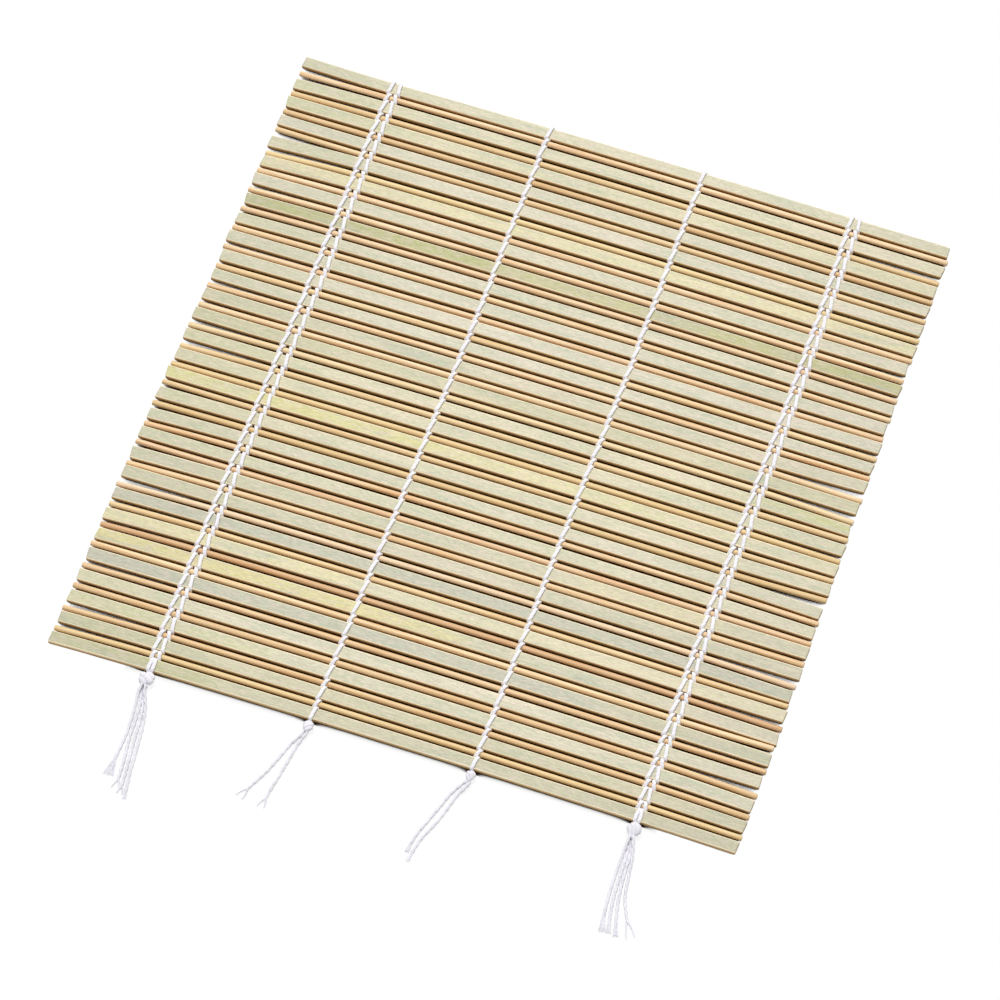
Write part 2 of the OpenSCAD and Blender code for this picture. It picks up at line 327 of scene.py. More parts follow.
def placed(name, data):
    """A new object in the scene, at the origin."""
    made = bpy.data.objects.new(name, data)
    bpy.context.scene.collection.objects.link(made)
    return made


def laid(points):
    """Moves points across the mat as it lies in the photo: towards the far side by 0.35 mm
    less 0.7 mm times X squared, with X in 100 mm and up to 120 mm, by a lean times X that
    turns from 0.25 to -0.65 mm between Y 20 and 130 mm, and by what ROWS says for Y."""
    x, y = points[..., 0] / 100, points[..., 1]
    lean = 0.25 - 0.9 * smooth((y - 20) / 110)
    moved = points.copy()
    moved[..., 1] += 0.35 - 0.7 * np.minimum(x * x, 1.44) + lean * x + np.interp(y, *zip(*ROWS))
    return moved


def smooth(t):
    """Rises from 0 at 0 to 1 at 1 with level ends: 3 t squared minus 2 t cubed."""
    t = np.clip(t, 0, 1)
    return t * t * (3 - 2 * t)


def between(first, last, share):
    """The value that lies the given share of the way from the first to the last."""
    return first + (last - first) * share


def unit(vectors):
    """Vectors divided by their own length."""
    return vectors / np.linalg.norm(vectors, axis=-1, keepdims=True)


def reached(points):
    """Length along a path up to each of its points: the running sum of its chords."""
    return np.append(0, np.cumsum(np.linalg.norm(np.diff(points, axis=0), axis=1)))


def sweep(centres, half_width, half_height, sides, square):
    """Rings round a path: at each centre a superellipse lies across the path, half_width to
    the side (level, square to the path, or along X where the path is steep) and half_height
    upwards. Its power is square."""
    slope = unit(np.gradient(centres, axis=0))
    side = np.cross(slope, [0.0, 0.0, 1.0])
    steep = np.linalg.norm(side, axis=1) < 0.95
    flat = np.array([1.0, 0.0, 0.0]) - slope * slope[:, :1]
    side = unit(np.where(steep[:, None], flat, side))
    side *= np.sign(np.sum(side * side[:1], axis=1))[:, None]
    up = np.cross(side, slope)
    a = np.arange(sides) * 2 * np.pi / sides
    x, z = (np.sign(c) * np.abs(c) ** (2 / square) * np.reshape(half, (-1, 1))
            for c, half in ((np.cos(a), half_width), (np.sin(a), half_height)))
    return centres[:, None] + x[..., None] * side[:, None] + z[..., None] * up[:, None]


def through(points, step):
    """Smooth curve through the points, in steps of a set length: cubic between neighbours,
    its slope at each point the mean slope of the chords that meet there."""
    points = np.array(points, float)
    t = reached(points)
    slope = np.gradient(points, t, axis=0)
    fine = np.linspace(0, t[-1], 400)
    i = np.clip(np.searchsorted(t, fine, side="right") - 1, 0, len(t) - 2)
    h = (t[i + 1] - t[i])[:, None]
    s = (fine - t[i])[:, None] / h
    curve = ((2 * s**3 - 3 * s**2 + 1) * points[i] + (s**3 - 2 * s**2 + s) * h * slope[i]
             + (3 * s**2 - 2 * s**3) * points[i + 1] + (s**3 - s**2) * h * slope[i + 1])
    s = reached(curve)
    count = max(int(round(s[-1] / step)), 2) + 1
    want = np.linspace(0, s[-1], count)
    return np.stack([np.interp(want, s, curve[:, k]) for k in range(3)], -1), s[-1]


def waves(x, seed, shortest, count=5):
    """Sum of a few sine waves along x with seeded phases, from -1 to 1, no wave shorter than
    the given length."""
    rng = np.random.default_rng(seed)
    total, weight = np.zeros_like(x, dtype=float), 0.0
    for k in range(count):
        reach = shortest * 1.7**k
        total += np.sin(2 * np.pi * x / reach + rng.uniform(0, 6.28)) * (k + 1)
        weight += k + 1
    return total / weight * 1.3


# Materials
def add_node(tree, kind, links=None, **settings):
    """Adds one shader node of a kind with its settings, and a value, a socket or another node,
    of which the first output in use is taken, for each input named in links."""
    made = tree.nodes.new("ShaderNode" + kind)
    for key, value in settings.items():
        setattr(made, key, value)
    for key, value in (links or {}).items():
        if isinstance(value, bpy.types.Node):
            value = next(s for s in value.outputs if s.enabled)
        if isinstance(value, bpy.types.NodeSocket):
            tree.links.new(value, made.inputs[key])
        else:
            made.inputs[key].default_value = value
    return made


def new_nodes(holder):
    """Clears the nodes of a material or a world and gives the function that adds to them."""
    holder.use_nodes = True
    holder.node_tree.nodes.clear()
    return partial(add_node, holder.node_tree)


def grain(add, along, across, detail=3.0, roughness=0.6):
    """Noise drawn out along the bamboo: one feature is along mm long and across mm wide."""
    place = add("TexCoord").outputs["Object"]
    scale = (1000 / along, 1000 / across, 1000 / across)
    stretched = add("Mapping", {0: place, 3: scale})
    noise = {"Vector": stretched, "Scale": 1.0, "Detail": detail, "Roughness": roughness}
    return add("TexNoise", noise).outputs[0]


def parts_of(add, attribute):
    """The three numbers of a vector attribute."""
    vector = add("Attribute", attribute_name=attribute).outputs["Vector"]
    return add("SeparateXYZ", {0: vector}).outputs


def shows_white(add):
    """1 for the rays that see a white background, from the camera, off gloss or through glass,
    and 0 for those that only light the mat."""
    rays = add("LightPath").outputs
    seen = add("Math", {0: rays["Is Camera Ray"], 1: rays["Is Glossy Ray"]}, operation="MAXIMUM")
    return add("Math", {0: seen, 1: rays["Is Transmission Ray"]}, operation="MAXIMUM")


def marked(add, body, value, mask, low, high, most=1.0, **settings):
    """The colour body, turned into the colour value where the mask runs from low to high, by
    a share that grows up to the most."""
    share = add("MapRange", {0: mask, 1: low, 2: high, 4: most}, **settings)
    return add("Mix", {0: share, 6: body, 7: value}, **COLOURS)


def tinted(add, body, most, values):
    """The colour body, turned into each of three others in turn by the attribute tint, of
    which each number counts up to the most."""
    for amount, share, value in zip(parts_of(add, "tint"), most, values):
        share = add("Math", {0: amount, 1: share}, operation="MULTIPLY", use_clamp=True)
        body = add("Mix", {0: share, 6: body, 7: value}, **COLOURS)
    return body


def end_grain(add, body, pale, dark):
    """The given colour, and on faces that look along the bamboo the cut ends of its fibre
    bundles: dark dots 0.3 mm apart on pale."""
    place = add("TexCoord").outputs["Object"]
    dots = add("TexVoronoi", {"Vector": place, "Scale": 3200.0})
    cut = marked(add, linear(pale), linear(dark), dots, 0.42, 0.2, **EASED)
    normal = add("NewGeometry").outputs["True Normal"]
    face = add("Math", {0: add("SeparateXYZ", {0: normal})}, operation="ABSOLUTE")
    return marked(add, body, cut, face, 0.75, 0.85)


def finished(made, height, strength, relief, sockets):
    """Ends a material: a bump whose relief is given in metres, and one shader."""
    add = partial(add_node, made.node_tree)
    bump = add("Bump", {"Height": height, "Strength": strength, "Distance": relief})
    add("OutputMaterial", {"Surface": add("BsdfPrincipled", {"Normal": bump, **sockets})})
    return made


def skin_bamboo(look):
    """Moso bamboo split into slats: waxy green skin on top, shaved at its edges, and sawn
    flesh at the sides and below. The skin is satin with fine grain, the flesh matt. The
    attribute place holds where a point lies across the slat, how deep, and how bright."""
    made = bpy.data.materials.new("split bamboo, skin side satin")
    add = new_nodes(made)
    across, depth, shade = parts_of(add, "place")
    fine = grain(add, 9, 0.26, 4, 0.7)
    broad = grain(add, 24, 1.2, 3)
    patch = grain(add, 38, 9, 2)
    # Skin: sage with cream streaks 0.3 to 1.2 mm wide and slow patches some 4 cm long
    mixed = add("Math", {0: fine, 1: 0.5, 2: broad}, operation="MULTIPLY_ADD")
    mixed = add("Math", {0: patch, 1: mixed}, operation="ADD")
    skin = marked(add, look.skin, look.pale, mixed, 1.0, 1.5, **EASED)
    # Age: yellow, olive or grey, uneven with the same patches
    worn = add("MapRange", {0: mixed, 1: 0.9, 2: 1.3}, **EASED)
    skin = tinted(add, skin, (worn, worn, worn), (look.yellow, look.olive, look.grey))
    # Rubbed places 3 mm long, mottling 2 mm long, and hairlines and specks of darker grain
    skin = marked(add, skin, look.rose, grain(add, 3.2, 1.1, 3, 0.7), 0.45, 0.7, 0.65)
    dapple = add("MapRange", {0: grain(add, 2.0, 0.4, 3, 0.8), 1: 0.28, 2: 0.75, 3: 0.74, 4: 1.26})
    dapple = add("Math", {0: dapple, 1: shade}, operation="MULTIPLY")
    skin = add("Mix", {0: 1.0, 6: skin, 7: dapple}, **COLOURS, blend_type="MULTIPLY")
    dark, speck = linear("#8F8A5E"), linear("#7A6C44")
    skin = marked(add, skin, dark, grain(add, 16, 0.16, 2, 0.8), 0.6, 0.74, 0.3)
    skin = marked(add, skin, speck, grain(add, 2.2, 0.5, 1), 0.74, 0.8, 0.45)
    # Shaved edges: tan cream, 0.2 mm wide, with a wavering border
    cut = add("Math", {0: across}, operation="ABSOLUTE")
    cut = add("Math", {0: broad, 1: 0.18, 2: cut}, operation="MULTIPLY_ADD")
    top = marked(add, skin, look.bevel, cut, 1.7, 1.86, 0.95, **EASED)
    # Sides: tan just under the skin with browner fibres, and browner with depth, partly the
    # flesh's own colour and partly painted shade of the deep slots between the pieces
    fibre = grain(add, 30, 0.22, 4, 0.7)
    flesh = marked(add, look.flesh, look.fibre, fibre, 0.34, 0.68, 0.55)
    flesh = marked(add, flesh, look.pith_and_shade, depth, 0.7, 1.7, **EASED)
    wall = add("Math", {0: fine, 1: 0.2, 2: depth}, operation="MULTIPLY_ADD")
    wall = add("MapRange", {0: wall, 1: 0.42, 2: 0.75}, **EASED)
    body = add("Mix", {0: wall, 6: top, 7: flesh}, **COLOURS)
    body = end_grain(add, body, "#E2CD9A", "#A57C48")
    rough = add("Math", {0: fine, 1: 0.2, 2: 0.42}, operation="MULTIPLY_ADD")
    rough = add("Math", {0: wall, 1: 0.25, 2: rough}, operation="MULTIPLY_ADD")
    return finished(made, fine, 0.6, 0.00007, {"Base Color": body, "Roughness": rough, "IOR": 1.5})


def peeled_bamboo(look):
    """Bamboo turned into round rods through a die: peach flesh with straight darker grain,
    matt, with short torn fibres."""
    made = bpy.data.materials.new("die-drawn bamboo rod, matt")
    add = new_nodes(made)
    fine = grain(add, 11, 0.2, 4, 0.7)
    broad = grain(add, 40, 0.8, 3)
    mixed = add("Math", {0: fine, 1: 0.8, 2: broad}, operation="MULTIPLY_ADD")
    rods = marked(add, look.stick, look.stick_dark, mixed, 0.78, 1.15, **EASED)
    # Each rod is yellower, browner or paler than the next; hairlines of torn fibre are brown
    rods = tinted(add, rods, (0.75, 0.7, 0.7),
                  (linear("#EFDA9C"), linear("#C08A55"), linear("#F3D6BC")))
    hair = grain(add, 12, 0.14, 2, 0.8)
    rods = marked(add, rods, linear("#9A6436"), hair, 0.6, 0.74, 0.38)
    rods = end_grain(add, rods, "#E8C793", "#A06E3C")
    rough = add("Math", {0: fine, 1: 0.2, 2: 0.48}, operation="MULTIPLY_ADD")
    return finished(made, fine, 0.6, 0.00008, {"Base Color": rods, "Roughness": rough, "IOR": 1.5})


def cotton(look, name, depth, first, second):
    """Bleached cotton string, two yarns laid together: soft white in blotches of a first and
    a second colour, no gloss, each yarn a slanting ridge and the groove between two yarns in
    shade to the given depth. U runs once round and V in turns."""
    made = bpy.data.materials.new(name)
    add = new_nodes(made)
    around, turn, _ = add("SeparateXYZ", {0: add("TexCoord").outputs["UV"]}).outputs
    phase = add("Math", {0: around, 1: turn}, operation="ADD")
    phase = add("Math", {0: phase, 1: 2 * math.pi}, operation="MULTIPLY")
    ridge = add("Math", {0: phase}, operation="SINE")
    ridge = add("Math", {0: ridge}, operation="ABSOLUTE")
    fuzz = grain(add, 0.5, 0.35, 4, 0.7)
    white = marked(add, first, second, grain(add, 4, 4, 3), 0.35, 0.7)
    body = marked(add, white, look.shade, ridge, 0.5, 0.0, depth, **EASED)
    height = add("Math", {0: fuzz, 1: 0.6, 2: ridge}, operation="MULTIPLY_ADD")
    return finished(made, height, 0.5 * depth + 0.2, 0.0001, {
        "Base Color": body, "Roughness": 0.95, "Specular IOR Level": 0.2,
        "Sheen Weight": 0.2, "Sheen Roughness": 0.6})


def matt_paper(look):
    """Matt white paper that keeps the mat's shadow, faint in the open, with painted shade in the
    slots between the bamboo: dark brown where ambient occlusion finds them. Outside them it glows
    white. It is clear from below, and above any part that a pose has rolled down past it, which
    ambient occlusion finds on its under side."""
    made = bpy.data.materials.new("matt white paper")
    add = new_nodes(made)
    above = add("AmbientOcclusion", {"Distance": 0.01}, samples=16).outputs["AO"]
    place = add("SeparateXYZ", {0: add("TexCoord").outputs["Object"]}).outputs
    in_front = add("Math", {0: place[1], 1: (LOW[0, 1] - 0.5) * MM}, operation="LESS_THAN")
    free_of_painted_shade = add("MapRange", {0: above, 1: 0.45, 2: 0.6}, **EASED)
    free_of_painted_shade = add("Math", {0: free_of_painted_shade, 1: in_front}, operation="MAXIMUM")
    # Where the free ends of the bamboo splay, the paper between them is free of the painted
    # shade and glows fully white, painted light in the wedges between the pieces
    beyond = add("Math", {0: place[0]}, operation="ABSOLUTE")
    beyond = add("MapRange", {0: beyond, 1: 0.088, 2: 0.093})
    splay = add("MapRange", {0: above, 1: 0.34, 2: 0.39})
    splay = add("Math", {0: splay, 1: beyond}, operation="MULTIPLY")
    free_of_painted_shade = add("Math", {0: free_of_painted_shade, 1: splay}, operation="MAXIMUM")
    paper = [0.97 * c for c in look.floor]
    # Painted shade: the paper turns dark brown where ambient occlusion finds the slots
    white = add("Mix", {0: free_of_painted_shade, 6: linear("#46321F"), 7: paper}, **COLOURS)
    matt = add("BsdfDiffuse", {"Color": white})
    bright = add("Emission", {"Color": (1, 1, 1, 1)})
    # The paper glows white where it is free of the painted shade, fully where the ends splay
    glow_share = add("Math", {0: free_of_painted_shade, 1: 0.85}, operation="MULTIPLY")
    glow_share = add("Math", {0: glow_share, 1: splay}, operation="MAXIMUM")
    shown = add("MixShader", {0: glow_share, 1: matt, 2: bright})
    clear = add("BsdfTransparent")
    below = add("AmbientOcclusion", {"Distance": 0.08}, inside=True, samples=12)
    under = add("MapRange", {0: below.outputs["AO"], 1: 0.9, 2: 0.5}, **EASED)
    shown = add("MixShader", {0: under, 1: shown, 2: clear})
    # Rays that only light the mat find the floor dull under it and bright in front
    bounce = add("Mix", {0: in_front, 6: (0.3, 0.28, 0.25, 1), 7: (0.85, 0.85, 0.85, 1)}, **COLOURS)
    dull = add("BsdfDiffuse", {"Color": bounce})
    front = add("MixShader", {0: shows_white(add), 1: dull, 2: shown})
    back = add("NewGeometry").outputs["Backfacing"]
    both = add("MixShader", {0: back, 1: front, 2: clear})
    add("OutputMaterial", {"Surface": both})
    return made


# Bamboo
LEAST_GAP = 0.45
NEAR_LIMIT, FAR_LIMIT = -0.7, 0.9  # of the ends of the two outer slats, in their wraps of string
FADES = 4  # so many pieces on, an open gap pushes e times less
BOUND, END = 86.0, 120  # the bamboo is free from the outer lines of twining to its ends


def end_shift(opened, aside):
    """How far each piece's end lies to one side, in mm: every open gap pushes the pieces
    before it one way and those behind it the other, less with each piece between, and some
    lie off by themselves. The outer slats stay within the string that wraps them, and no gap
    closes below LEAST_GAP."""
    place = np.arange(1, len(PIECES) + 1)
    shift = np.zeros(len(PIECES))
    for gap, extra in opened.items():
        away = np.where(place > gap, place - gap - 1, gap - place)
        shift += extra / 2 * np.where(place > gap, 1, -1) * np.exp(-away / FADES)
    for piece, extra in aside.items():
        shift[piece - 1] += extra
    room = GAP - LEAST_GAP
    shift[-1] = min(shift[-1], FAR_LIMIT)
    for i in range(len(PIECES) - 2, -1, -1):
        shift[i] = min(shift[i], shift[i + 1] + room)
    shift[0] = max(shift[0], NEAR_LIMIT)
    for i in range(1, len(PIECES)):
        shift[i] = max(shift[i], shift[i - 1] - room)
    return shift


SHIFT = {-1: end_shift(OPEN_LEFT, ASIDE_LEFT), 1: end_shift(OPEN_RIGHT, ASIDE_RIGHT)}
SHIFT[-1][1::2] -= 0.3  # on the left the free ends of the sticks lie towards the tassels
SPREAD = np.random.default_rng(31).normal(0, 0.2, (2, len(PIECES)))
LEFT_ENDS, RIGHT_ENDS = (np.interp(MIDDLE[:, 1], (-10, 50), x) + SPREAD[k]
                         for k, x in enumerate((LEFT_X, RIGHT_X)))


def freely(x, power):
    """How free the bamboo is at x: 0 between the outer lines of twining, and beyond them a
    power of the share of the way to its end."""
    return np.clip((np.abs(x) - BOUND) / (END - BOUND), 0, None) ** power


def sideways(i, x):
    """How far piece i lies off its straight place at x: the shift of that end, growing with
    the power 1.4 of the way to it."""
    return freely(x, 1.4) * np.where(x < 0, SHIFT[-1][i], SHIFT[1][i])


def stations(low, high, count, fine):
    """Places along a piece, close together over each cut end and even between: their X, and
    how far each lies from the left end and from the nearer end."""
    long, ends = high - low, np.array(fine[:-1])
    even = np.linspace(fine[-1], long - fine[-1], count)
    from_left = np.concatenate([ends, even, long - ends[::-1]])
    return from_left + low, from_left, np.minimum(from_left, from_left[-1] - from_left)


def slat_surface(i, look):
    """Slat i. Round the section: a skin side that rises as a parabola, two quarter-round
    shaved edges, walls that lean in by 0.06 mm, and a hollow underside with small corners.
    Along the slat the width and thickness waver, the ends are cut a little askew and their
    corners broken. Its attributes are place, which is twice the share of the way across, the
    depth below the skin and the brightness, and tint, which is how yellow, olive and grey."""
    (_, y0, z0), (_, y1, z1) = LOW[i], HIGH[i]
    thick, rng = z1 - z0, np.random.default_rng(100 + i)
    # Slats are split by hand and differ in width, mostly on their far side
    near, far = rng.uniform(0, 0.2), rng.uniform(0.1, 0.6)
    near, far = near * (i > 0), far * (i < len(PIECES) - 1)
    half, middle = (y1 - y0 + near + far) / 2, MIDDLE[i, 1] + (far - near) / 2
    e = look.edge * rng.uniform(0.85, 1.1)
    quarter, bend = np.linspace(0, np.pi / 2, 4), np.linspace(0, np.pi / 2, 3)
    edge = [half - e + e * np.cos(quarter), thick - e * 0.85 + e * 0.85 * np.sin(quarter)]
    foot = [half - 0.18 + 0.12 * np.sin(bend), 0.12 - 0.12 * np.cos(bend)]
    wall = [[half - 0.04, half - 0.01], [thick * 0.3, thick * 0.55]]
    top = [np.linspace(half - e, -half + e, 9)[1:-1], np.full(7, thick)]
    under = [np.linspace(-half + 0.2, half - 0.2, 7)[1:-1], np.full(5, 0.05)]
    left_side = np.concatenate([foot, wall, edge], 1)[:, ::-1] * [[-1], [1]]
    y, z = np.concatenate([edge, top, left_side, under, foot, wall], 1)
    crown = look.crown * (1 - (y / half) ** 2)
    z = np.where(z > thick * 0.5, z - look.crown + crown, z)
    depth = thick - z
    x, from_left, from_end = stations(LEFT_ENDS[i], RIGHT_ENDS[i], 42, [0, 0.1, 0.3, 0.6])
    narrow = 1 - 0.05 * (1 - smooth(from_end / 0.4)) - look.thinning / (2 * half) * (
        0.5 + 0.5 * waves(from_left, 200 + i, 24))
    inset = 0.1 * (1 - smooth(from_end / 0.16))
    thin = look.thinning * (0.5 + 0.5 * waves(from_left, 300 + i, 30))
    raised = freely(x, 1.6) * np.where(x < 0, *rng.uniform(-0.6, 1, 2)) * look.lift
    yy = y[None] * narrow[:, None]
    zz = np.clip(z[None], inset[:, None], (thick - inset - thin * (from_end > 0.5))[:, None])
    askew = rng.uniform(-0.12, 0.12, 2)
    slant = y[None] * (np.where(x < 0, *askew) * smooth(1 - from_end / 6))[:, None]
    rings = np.stack([x[:, None] + slant, yy + middle + sideways(i, x)[:, None],
                      zz + z0 + raised[:, None]], -1)
    shade = 1 - DARKER.get(i // 2 + 1, 0) - 0.08 * smooth((np.abs(x) - 50) / 60)
    place = np.stack(np.broadcast_arrays(2 * y / half, depth, shade[:, None]), -1)
    # Tint: a seeded amount for each slat, and more where TINTED says so
    own = np.array([rng.uniform(0, 0.35) ** 1.3, rng.uniform(0, 0.25), rng.uniform(0, 0.45)])
    tint = own + smooth((-55 - x) / 60)[:, None] * [0.1, 0.35, 0.25]
    for low, high, *amounts in TINTED.get(i // 2 + 1, []):
        inside = smooth((x - low + 8) / 16) * smooth((high + 8 - x) / 16)
        tint = tint * (1 - inside[:, None]) + inside[:, None] * np.maximum(amounts, own * 0.3)
    tint = np.broadcast_to(tint[:, None], rings.shape)
    return tube(rings, along=x), [("place", place), ("tint", tint)]


def stick_surface(i):
    """Stick i: rings of 16 points whose radius wavers inwards by up to 6 % along and round
    the stick, with both ends chamfered. Its attribute tint is how yellow, brown and pale."""
    r, rng = (HIGH[i, 1] - LOW[i, 1]) / 2, np.random.default_rng(500 + i)
    middle = MIDDLE[i, 1] + rng.uniform(-0.06, 0.16)
    # Sticks stand out a little on the right
    x, from_left, from_end = stations(LEFT_ENDS[i], RIGHT_ENDS[i] + 0.15, 34, [0, 0.08, 0.2])
    a = np.arange(16) * np.pi / 8
    size = rng.uniform(0.93, 1) - 0.02 * (1 + waves(from_left, 600 + i, 18))
    size -= 0.1 * (1 - smooth(from_end / 0.2))
    facet = 0.015 * (1 + np.cos(3 * a + rng.uniform(0, 6.28)))
    radius = r * size[:, None] * (1 - facet[None])
    raised = freely(x, 1.6) * np.where(x < 0, *rng.uniform(-0.1, 0.25, 2))
    rings = np.stack(np.broadcast_arrays(
        x[:, None], radius * np.cos(a) + middle + sideways(i, x)[:, None],
        radius * np.sin(a) + MIDDLE[i, 2] + raised[:, None]), -1)
    brown, pale = TINTED_STICKS.get(i // 2 + 1, (rng.uniform(0, 0.3), rng.uniform(0, 0.25)))
    tint = np.broadcast_to([rng.uniform(0, 1), brown, pale], rings.shape)
    return tube(rings, along=x), [("tint", tint)]


# String
CLEAR = 0.03  # between the bamboo and its stitches
# A stitch on the skin side (True) or underneath: its middle above the clearance, and half its
# thickness
LEVEL, HALF_THICK = {True: 0.35, False: 0.225}, {True: 0.33, False: 0.215}
PINCHED = 0.46  # half the thickness of a strand between two pieces
END_REACH = 2.38  # from the middle of an outer slat to the string round its edge
FLAT_POWER, ROUND_POWER = 5.0, 2.2  # of the superellipse that a stitch follows round the bamboo
RNG = np.random.default_rng(8)
LINE_DRIFT = RNG.normal(0, 0.07, (len(LINES), len(PIECES)))
for n, (x, _, knot) in enumerate(LINES):
    LINE_DRIFT[n] += np.interp(MIDDLE[:, 1], np.linspace(*MIDDLE[[0, -1], 1], 7), WANDER[n])
    # The pairs draw together towards their knot
    LINE_DRIFT[n, :3] += (KNOTS[knot][1] - x - LINE_DRIFT[n, :3]) * np.array([0.45, 0.2, 0.07])
# The share of its full width that each stitch has on the bamboo
STITCH_FULL = 1 - RNG.uniform(0, 0.12, (len(LINES), 2, len(PIECES)))


def quarter_pass(i, over, reach=None):
    """Half of a stitch, from the middle of piece i out to the middle of the gap: a quarter of
    a superellipse round the bamboo, squarer round a flat slat than round a stick, as
    (distance across, height from the bamboo's middle, share of the way out)."""
    reach = (HIGH[i, 1] - LOW[i, 1] + GAP) / 2 if reach is None else reach
    rise = (HIGH[i, 2] - LOW[i, 2]) / 2 + CLEAR + LEVEL[over]
    t = np.linspace(np.pi / 2, 0, 60)
    power = 2 / (FLAT_POWER if i % 2 == 0 else ROUND_POWER)
    y = reach * np.abs(np.cos(t)) ** power
    z = rise * np.abs(np.sin(t)) ** power
    return y, z * (1 if over else -1), y / reach


def stitch_size(q, over, look):
    """Half width and half thickness of a stitch: wide and flat on the bamboo, narrow and
    thick in the gap, with the fourth power of the way out."""
    return (between(look.crown_half, look.pinch_half, q**4),
            between(HALF_THICK[over], PINCHED, q**4))


def joined(first, second):
    """Two runs of values, of which the second starts where the first ends, as one."""
    return np.concatenate([first, second[1:]])


def spread_out(path, extras, count):
    """Picks count places on a path, evenly by length plus 0.5 mm for each radian it turns,
    the values that go with them, and the share of the path's length at each."""
    step = np.diff(path, axis=0)
    size = np.linalg.norm(step, axis=1)
    ahead = step / np.maximum(size, 1e-9)[:, None]
    bend = np.arccos(np.clip(np.sum(ahead[1:] * ahead[:-1], axis=1), -1, 1))
    s = np.append(0, np.cumsum(size + 0.5 * np.append(0, bend)))
    want = np.linspace(0, s[-1], count)
    x, y, z, *others, share = (np.interp(want, s, v) for v in (*path.T, *extras, reached(path)))
    return np.stack([x, y, z], -1), others, share / share[-1]


def stitch_tube(path, size, count, turns):
    """One strand's tube along its path, with so many turns of its yarns from end to end that
    the twist runs on into the next gap's tube."""
    centres, (w, t), share = spread_out(path, size, count)
    return tube(sweep(centres, w, t, 8, 2.4), along=share * turns)


def gap_passes(i, look):
    """All twelve strands across the gap behind place i, each from the middle of one piece to
    the middle of the next, over one and under the other. The two strands of a line wind round
    each other, so every stitch leans the same way: aside in proportion to the way out, and a
    little more where they pass each other between the pieces."""
    parts = []
    for n, (x, lean, _) in enumerate(LINES):
        for strand in (0, 1):
            over = (i + strand) % 2 == 0
            side = lean * (1 if over else -1)
            y1, z1, q1 = quarter_pass(i, over)
            y2, z2, q2 = (v[::-1] for v in quarter_pass(i + 1, not over))
            d1, d2 = LINE_DRIFT[n, i], LINE_DRIFT[n, i + 1]
            mid = (d1 + d2) / 2
            step = [side * (look.lean * q + look.pass_by * smooth(
                (0.97 - np.abs(z) / np.abs(z).max()) / 0.4)) for q, z in ((q1, z1), (q2, z2))]
            xs = joined(x + d1 + (mid - d1) * q1 + step[0], x + d2 + (mid - d2) * q2 + step[1])
            ys = joined(MIDDLE[i, 1] + y1, MIDDLE[i + 1, 1] - y2)
            path = np.stack([xs, ys, joined(z1, z2) + MID_Z], -1)
            w1, t1 = stitch_size(q1, over, look)
            w2, t2 = stitch_size(q2, not over, look)
            f1, f2 = STITCH_FULL[n, strand, i], STITCH_FULL[n, strand, i + 1]
            w = joined(w1 * between(f1, 1, q1), w2 * between(f2, 1, q2))
            parts.append(stitch_tube(path, (w, joined(t1, t2)), count=12, turns=2.0))
    return gather(parts)


def far_turns(look):
    """Where the string folds round the far slat: a superellipse's half from the middle of the
    skin side round the edge to the middle underneath, bowed to the line's side."""
    i, parts = len(PIECES) - 1, []
    for n, (x, lean, _) in enumerate(LINES):
        top = quarter_pass(i, True, END_REACH)
        low = [v[::-1] for v in quarter_pass(i, False, END_REACH)]
        y, z = joined(top[0], low[0]), joined(top[1], low[1]) + MID_Z
        share = np.linspace(0, 1, len(y))
        xs = x + LINE_DRIFT[n, i] + lean * look.lean * np.sin(np.pi * share)
        (w1, t1), (w2, t2) = (stitch_size(q * 0.93, o, look) for q, o in
                              ((top[2], True), (low[2], False)))
        path = np.stack([xs, MIDDLE[i, 1] + y, z], -1)
        size = joined(w1, w2), np.minimum(joined(t1, t2), 0.35)
        parts.append(stitch_tube(path, size, count=16, turns=3.0))
    return gather(parts)


def near_ends(look):
    """From the last stitches, over and under the near slat, the strands draw together and
    run into their knot."""
    parts = []
    for n, (x, lean, place) in enumerate(LINES):
        _, middle, _, _, high, *_ = KNOTS[place]
        for over in (True, False):
            y, z, q = quarter_pass(0, over, END_REACH)
            level = high / 2 + (0.5 if over else -0.4)
            own = x + LINE_DRIFT[n, 0]
            aside = lean * look.lean * (-0.5 if over else 0.5)
            start = np.stack([own + (middle - own) * 0.3 * q**1.5 + aside * q,
                              MIDDLE[0, 1] - y, z + MID_Z], -1)[:44]
            end = np.array([[between(own, middle, 0.42), KNOT_BACK - 0.1, level],
                            [between(own, middle, 0.6), KNOT_BACK - 1.3, high / 2]])
            path, _ = through(np.concatenate([start[::9], end]), 0.15)
            share = np.linspace(0, 1, len(path))
            w = between(look.crown_half, 0.6, smooth(share))
            t = between(HALF_THICK[over], 0.42, smooth(share))
            parts.append(stitch_tube(path, (w, t), count=10, turns=1.5))
    return gather(parts)


